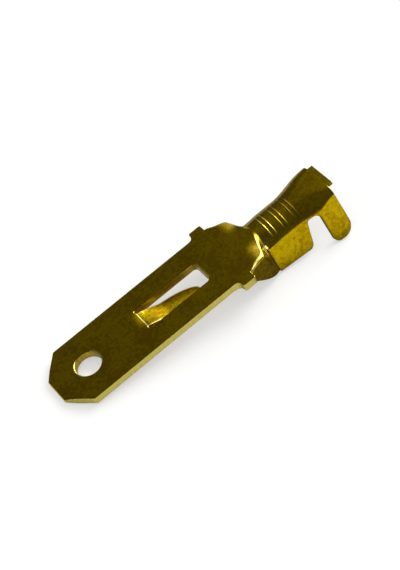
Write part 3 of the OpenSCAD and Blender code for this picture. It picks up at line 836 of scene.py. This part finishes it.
def rolled_brass(looks):
    """Cold-rolled brass: a soft mirror with faint roll lines, dull clouds, fine scratches and pale folds.

    The pale folds, crests, lance root and dimples are partly a painted highlight.
    """
    mat, tree, shader, _ = new_material("rolled_brass")
    at = add_node(tree, "ShaderNodeUVMap", {"uv_map": "blank"}).outputs[0]
    drawn = add_node(tree, "ShaderNodeAttribute", {"attribute_name": "drawn"}).outputs["Fac"]
    rubbed = add_node(tree, "ShaderNodeAttribute", {"attribute_name": "rubbed"}).outputs["Fac"]

    # Pattern sizes in millimetres, and the slant in radians. Roll lines are coarser than real ones, to show
    line_gap, line_len = 0.125, 4
    cloud_size = 20 / 7
    mark_size = 1 / 3
    scratch_gap, scratch_len = 1 / 7, 2
    scratch_slant = 0.6

    # Roll lines along the strip, dull clouds, handling marks, and slanting scratches: only the deepest show
    lines_at = add_node(tree, "ShaderNodeMapping", Vector=at, Scale=(1 / line_len, 1 / line_gap, 1))
    lines = add_node(tree, "ShaderNodeTexNoise", Vector=lines_at.outputs[0], Scale=1, Detail=3, Roughness=0.6)
    clouds = add_node(tree, "ShaderNodeTexNoise", Vector=at, Scale=1 / cloud_size, Detail=4, Roughness=0.6)
    marks = add_node(tree, "ShaderNodeTexNoise", Vector=at, Scale=1 / mark_size, Detail=6, Roughness=0.75)
    slant = add_node(tree, "ShaderNodeMapping", Vector=at, Rotation=(0, 0, scratch_slant),
                     Scale=(1 / scratch_len, 1 / scratch_gap, 1))
    strokes = add_node(tree, "ShaderNodeTexNoise", Vector=slant.outputs[0], Scale=1, Detail=2)
    scratch = add_node(tree, "ShaderNodeMapRange", Value=strokes.outputs[0], From_Min=0.64, From_Max=0.8)

    # Colour: clean brass, tarnished where clouds and marks add up, and pale where the press has drawn it;
    # that pale is partly a painted highlight
    mottle = add_node(tree, "ShaderNodeMath", {"operation": "MULTIPLY_ADD"}, i0=marks.outputs[0], i1=2,
                      i2=clouds.outputs[0])
    dull = add_node(tree, "ShaderNodeMapRange", Value=mottle.outputs[0], From_Min=1.4, From_Max=1.64)
    colour = add_node(tree, "ShaderNodeMix", {"data_type": "RGBA"}, i0=dull.outputs[0],
                      i6=(*looks.brass, 1), i7=(*looks.tarnish, 1))
    pale = add_node(tree, "ShaderNodeMix", {"data_type": "RGBA"}, i0=drawn,
                    i6=colour.outputs[2], i7=(*looks.sheared, 1))
    tree.links.new(pale.outputs[2], shader.inputs["Base Color"])

    # Roughness: uneven with the marks, more in scratches and on the pale drawn metal with its painted
    # highlight
    rough = add_node(tree, "ShaderNodeMapRange", Value=marks.outputs[0], From_Min=0.3, From_Max=0.7,
                     To_Min=0.16, To_Max=0.23)
    worn = add_node(tree, "ShaderNodeMath", {"operation": "MULTIPLY_ADD"}, i0=scratch.outputs[0], i1=0.06,
                    i2=rough.outputs[0])
    matt = add_node(tree, "ShaderNodeMath", {"operation": "MULTIPLY_ADD"}, i0=drawn, i1=0.2,
                    i2=worn.outputs[0])
    tree.links.new(matt.outputs[0], shader.inputs["Roughness"])

    # Relief: roll lines, scratches, and marks that are deeper where the metal was rubbed
    fine = add_node(tree, "ShaderNodeBump", Height=lines.outputs[0], Strength=0.04, Distance=0.01 * MM)
    cut = add_node(tree, "ShaderNodeBump", {"invert": True}, Height=scratch.outputs[0], Strength=0.02,
                   Distance=0.01 * MM, Normal=fine.outputs[0])
    press = add_node(tree, "ShaderNodeMapRange", Value=rubbed, To_Min=0.02, To_Max=0.6)
    bump = add_node(tree, "ShaderNodeBump", Height=marks.outputs[0], Strength=press.outputs[0],
                    Distance=0.04 * MM, Normal=cut.outputs[0])
    tree.links.new(bump.outputs[0], shader.inputs["Normal"])
    shader.inputs["Metallic"].default_value = 1
    return mat


def sheared_brass(looks):
    """Punched brass edge: a paler, matt cut with drag lines straight through the thickness."""
    mat, tree, shader, _ = new_material("sheared_brass_edge")
    at = add_node(tree, "ShaderNodeUVMap", {"uv_map": "rim"}).outputs[0]
    # Drag lines along the rim, in millimetres
    drag_gap, drag_len = 1 / 9, 1.25
    drag_at = add_node(tree, "ShaderNodeMapping", Vector=at, Scale=(1 / drag_gap, 1 / drag_len, 1))
    drag = add_node(tree, "ShaderNodeTexNoise", Vector=drag_at.outputs[0], Scale=1, Detail=3, Roughness=0.6)
    tone = ramp(add_node(tree, "ShaderNodeValToRGB", Fac=drag.outputs[0]),
                (0.3, tuple(part * 0.8 for part in looks.sheared)), (0.7, looks.sheared))
    tree.links.new(tone.outputs[0], shader.inputs["Base Color"])
    bump = add_node(tree, "ShaderNodeBump", Height=drag.outputs[0], Strength=0.5, Distance=0.04 * MM)
    tree.links.new(bump.outputs[0], shader.inputs["Normal"])
    shader.inputs["Metallic"].default_value = 1
    shader.inputs["Roughness"].default_value = 0.45
    return mat


def floor_paper(looks):
    """Matt white studio paper with a trace of tooth, lifted for the camera so that shadows stay pale.

    What the metal mirrors of it has painted shade beside the barrel, standing in for the shade that the
    folded wings would cast, and a painted fall of light farther out.
    """
    mat, tree, shader, out = new_material("matt_studio_paper")
    at = add_node(tree, "ShaderNodeTexCoord").outputs["Object"]
    path = add_node(tree, "ShaderNodeLightPath")
    # The paper's tooth is coarser than real, so that it shows
    tooth_size = 10 / 9 * MM
    tooth = add_node(tree, "ShaderNodeTexNoise", Vector=at, Scale=1 / tooth_size, Detail=2)
    tone = ramp(add_node(tree, "ShaderNodeValToRGB", Fac=tooth.outputs[0]),
                (0, tuple(part * 0.985 for part in looks.floor)), (1, looks.floor))
    tree.links.new(tone.outputs[0], shader.inputs["Base Color"])
    shader.inputs["Roughness"].default_value = 0.9
    shader.inputs["Specular IOR Level"].default_value = 0.1

    # Painted shade beside the barrel, full up to 8 mm out, and painted shade farther out, deeper on the far
    # side
    place = add_node(tree, "ShaderNodeSeparateXYZ", Vector=at)
    off = add_node(tree, "ShaderNodeMath", {"operation": "ABSOLUTE"}, i0=place.outputs["Y"])
    beside = add_node(tree, "ShaderNodeMapRange", Value=place.outputs["X"],
                      From_Min=4.2 * MM, From_Max=5.8 * MM, To_Max=0.84)
    close = add_node(tree, "ShaderNodeMapRange", Value=off.outputs[0], From_Min=12 * MM, From_Max=8 * MM)
    barrel = add_node(tree, "ShaderNodeMath", {"operation": "MULTIPLY"}, i0=beside.outputs[0],
                      i1=close.outputs[0])
    fall = add_node(tree, "ShaderNodeMapRange", Value=off.outputs[0],
                    From_Min=10 * MM, From_Max=16 * MM, To_Max=0.14)
    far = add_node(tree, "ShaderNodeMapRange", Value=place.outputs["Y"],
                   From_Min=6 * MM, From_Max=14 * MM, To_Max=0.65)
    away = add_node(tree, "ShaderNodeMath", {"operation": "MAXIMUM"}, i0=fall.outputs[0], i1=far.outputs[0])
    shade = add_node(tree, "ShaderNodeMath", {"operation": "MAXIMUM"}, i0=barrel.outputs[0],
                     i1=away.outputs[0])
    # Only mirrored rays see the painted shade, a black emission mixed into the paper
    mirrored = add_node(tree, "ShaderNodeMath", {"operation": "MULTIPLY"}, i0=shade.outputs[0],
                        i1=path.outputs["Is Glossy Ray"])
    dark = add_node(tree, "ShaderNodeEmission", Strength=0)
    paper = add_node(tree, "ShaderNodeMixShader", i0=mirrored.outputs[0], i1=shader.outputs[0],
                     i2=dark.outputs[0])

    # Half of what the camera sees is plain white
    glow = add_node(tree, "ShaderNodeEmission", Color=(1, 1, 1, 1), Strength=1)
    lift = add_node(tree, "ShaderNodeMath", {"operation": "MULTIPLY"}, i0=path.outputs["Is Camera Ray"],
                    i1=0.5)
    seen = add_node(tree, "ShaderNodeMixShader", i0=lift.outputs[0], i1=paper.outputs[0], i2=glow.outputs[0])
    tree.links.new(seen.outputs[0], out.inputs[0])
    return mat


def dim_room(towards):
    """World: white for the camera, a pale dome for the floor, and for the metal a dim room.

    The room has a bright wall that fades in from 50 to 35 degrees off the given direction, and in the middle
    of that wall a brighter pane. Its dim rest is a little lighter on the far side.
    """
    world = bpy.data.worlds.new("dim_room")
    world.use_nodes = True
    tree = world.node_tree
    tree.nodes.clear()
    path = add_node(tree, "ShaderNodeLightPath")
    look = add_node(tree, "ShaderNodeTexCoord").outputs["Generated"]
    sides = add_node(tree, "ShaderNodeSeparateXYZ", Vector=look)
    facing = add_node(tree, "ShaderNodeVectorMath", {"operation": "DOT_PRODUCT"}, i0=look, i1=towards)
    wall = add_node(tree, "ShaderNodeMapRange", {"interpolation_type": "SMOOTHSTEP"},
                    Value=facing.outputs["Value"], From_Min=0.64, From_Max=0.82, To_Max=0.65)
    pane = add_node(tree, "ShaderNodeMapRange", Value=facing.outputs["Value"],
                    From_Min=0.91, From_Max=0.96, To_Max=6)
    dim = add_node(tree, "ShaderNodeMapRange", Value=sides.outputs["Y"], From_Min=-1,
                   To_Min=0.065, To_Max=0.09)
    bright = add_node(tree, "ShaderNodeMath", {"operation": "ADD"}, i0=wall.outputs[0], i1=pane.outputs[0])
    level = add_node(tree, "ShaderNodeMath", {"operation": "ADD"}, i0=bright.outputs[0], i1=dim.outputs[0])
    room, dome, white = (
        add_node(tree, "ShaderNodeBackground", Color=(1, 1, 1, 1), Strength=strength).outputs[0]
        for strength in (level.outputs[0], 0.78, 1))
    lit = add_node(tree, "ShaderNodeMixShader", i0=path.outputs["Is Glossy Ray"], i1=dome, i2=room)
    seen = add_node(tree, "ShaderNodeMixShader", i0=path.outputs["Is Camera Ray"], i1=lit.outputs[0],
                    i2=white)
    add_node(tree, "ShaderNodeOutputWorld", Surface=seen.outputs[0])
    return world


class TERMINAL_OT_fold(bpy.types.Operator):
    """Fold the terminal from its flat blank"""
    bl_idname = "terminal.fold"
    bl_label = "Fold the terminal"

    def execute(self, context):
        form = Strip(context.scene.terminal_sizes)
        points, normals, faces, finish, blank, rim, worn = folded_mesh(form)
        rot, shift = rest_pose()
        mesh = bpy.data.meshes.new("terminal_strip")
        mesh.from_pydata((points @ rot.T * MM + shift).tolist(), [], faces)
        mesh.polygons.foreach_set("material_index", finish)
        mesh.shade_smooth()
        corner = np.zeros(len(mesh.loops), np.int32)
        mesh.loops.foreach_get("vertex_index", corner)
        for name, values in (("blank", blank), ("rim", rim)):
            mesh.uv_layers.new(name=name).data.foreach_set("uv", values[corner].ravel())
        # The first weight is pale drawn metal with painted highlights on folds, crests, lance root, dimples
        # and rims
        for name, values in (("drawn", np.maximum(form.drawn(blank[:, 0], blank[:, 1]), worn)),
                             ("rubbed", form.rubbed(blank[:, 0], blank[:, 1]))):
            mesh.attributes.new(name, "FLOAT", "POINT").data.foreach_set("value", values)
        mesh.normals_split_custom_set_from_vertices(normals @ rot.T)
        if mesh.validate(clean_customdata=False):
            raise RuntimeError("the folded strip has broken faces")
        looks = context.scene.terminal_looks
        mesh.materials.append(rolled_brass(looks))
        mesh.materials.append(sheared_brass(looks))
        strip = bpy.data.objects.new("terminal_strip", mesh)
        context.collection.objects.link(strip)
        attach(strip, BODY)
        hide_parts(NODE)
        return {"FINISHED"}


class TERMINAL_OT_stage(bpy.types.Operator):
    """Set the floor, the light and the camera"""
    bl_idname = "terminal.stage"
    bl_label = "Set the stage"

    def execute(self, context):
        scene = context.scene
        rot, shift = rest_pose()

        # Floor: one level square
        half = 1.5
        mesh = bpy.data.meshes.new("floor")
        corners = [(-half, -half, 0), (half, -half, 0), (half, half, 0), (-half, half, 0)]
        mesh.from_pydata(corners, [], [(0, 1, 2, 3)])
        mesh.materials.append(floor_paper(scene.terminal_looks))
        floor = bpy.data.objects.new("floor", mesh)
        context.collection.objects.link(floor)

        # Key light: one tall soft window beyond the tail, broad enough for soft shadows
        reach = 0.8
        round_to, up_to = math.radians(12), math.radians(34)
        towards = Vector((math.cos(round_to) * math.cos(up_to), math.sin(round_to) * math.cos(up_to),
                          math.sin(up_to)))
        lamp = bpy.data.lights.new("window_light", "AREA")
        lamp.shape = "RECTANGLE"
        lamp.size = 0.5
        lamp.size_y = 0.6
        lamp.energy = 5
        key = bpy.data.objects.new("window_light", lamp)
        key.rotation_euler = towards.to_track_quat("Z", "Y").to_euler()
        key.location = towards * reach
        context.collection.objects.link(key)
        scene.world = dim_room(towards)

        # Camera, placed in millimetres in the blade's own frame, with its focal length in pixels
        eye = np.array([-7.1959, -81.7659, 100.2599])
        right = np.array([0.764648, -0.571291, -0.298227])
        down = np.array([-0.623563, -0.539024, -0.566235])
        focal_px, picture_px = 1650, 400
        data = bpy.data.cameras.new("camera")
        data.sensor_fit = "HORIZONTAL"
        data.sensor_width = 36
        data.lens = data.sensor_width * focal_px / picture_px
        data.clip_start = 5 * MM
        camera = bpy.data.objects.new("camera", data)
        matrix = np.eye(4)
        matrix[:3, :3] = rot @ np.stack([right, -down, np.cross(right, -down)], axis=1)
        matrix[:3, 3] = rot @ eye * MM + shift
        camera.matrix_world = Matrix(matrix.tolist())
        context.collection.objects.link(camera)
        scene.camera = camera
        scene.view_settings.view_transform = "Standard"
        return {"FINISHED"}


class TERMINAL_PT_panel(bpy.types.Panel):
    """Sizes and steps of the terminal"""
    bl_label = "Spade terminal"
    bl_idname = "TERMINAL_PT_panel"
    bl_space_type = "VIEW_3D"
    bl_region_type = "UI"
    bl_category = "Terminal"

    def draw(self, context):
        for group in (context.scene.terminal_sizes, context.scene.terminal_looks):
            for name in group.__annotations__:
                self.layout.prop(group, name)
        self.layout.operator(TERMINAL_OT_fold.bl_idname)
        self.layout.operator(TERMINAL_OT_stage.bl_idname)


CLASSES = (TerminalSizes, TerminalLooks, TERMINAL_OT_fold, TERMINAL_OT_stage, TERMINAL_PT_panel)


def register():
    """Adds the classes, and the scene's sizes and looks."""
    for cls in CLASSES:
        bpy.utils.register_class(cls)
    bpy.types.Scene.terminal_sizes = PointerProperty(type=TerminalSizes)
    bpy.types.Scene.terminal_looks = PointerProperty(type=TerminalLooks)


def unregister():
    """Takes away what register added."""
    del bpy.types.Scene.terminal_looks
    del bpy.types.Scene.terminal_sizes
    for cls in reversed(CLASSES):
        bpy.utils.unregister_class(cls)


def main():
    """Registers the classes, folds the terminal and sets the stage."""
    register()
    bpy.ops.terminal.fold()
    bpy.ops.terminal.stage()


if __name__ == "__main__":
    main()
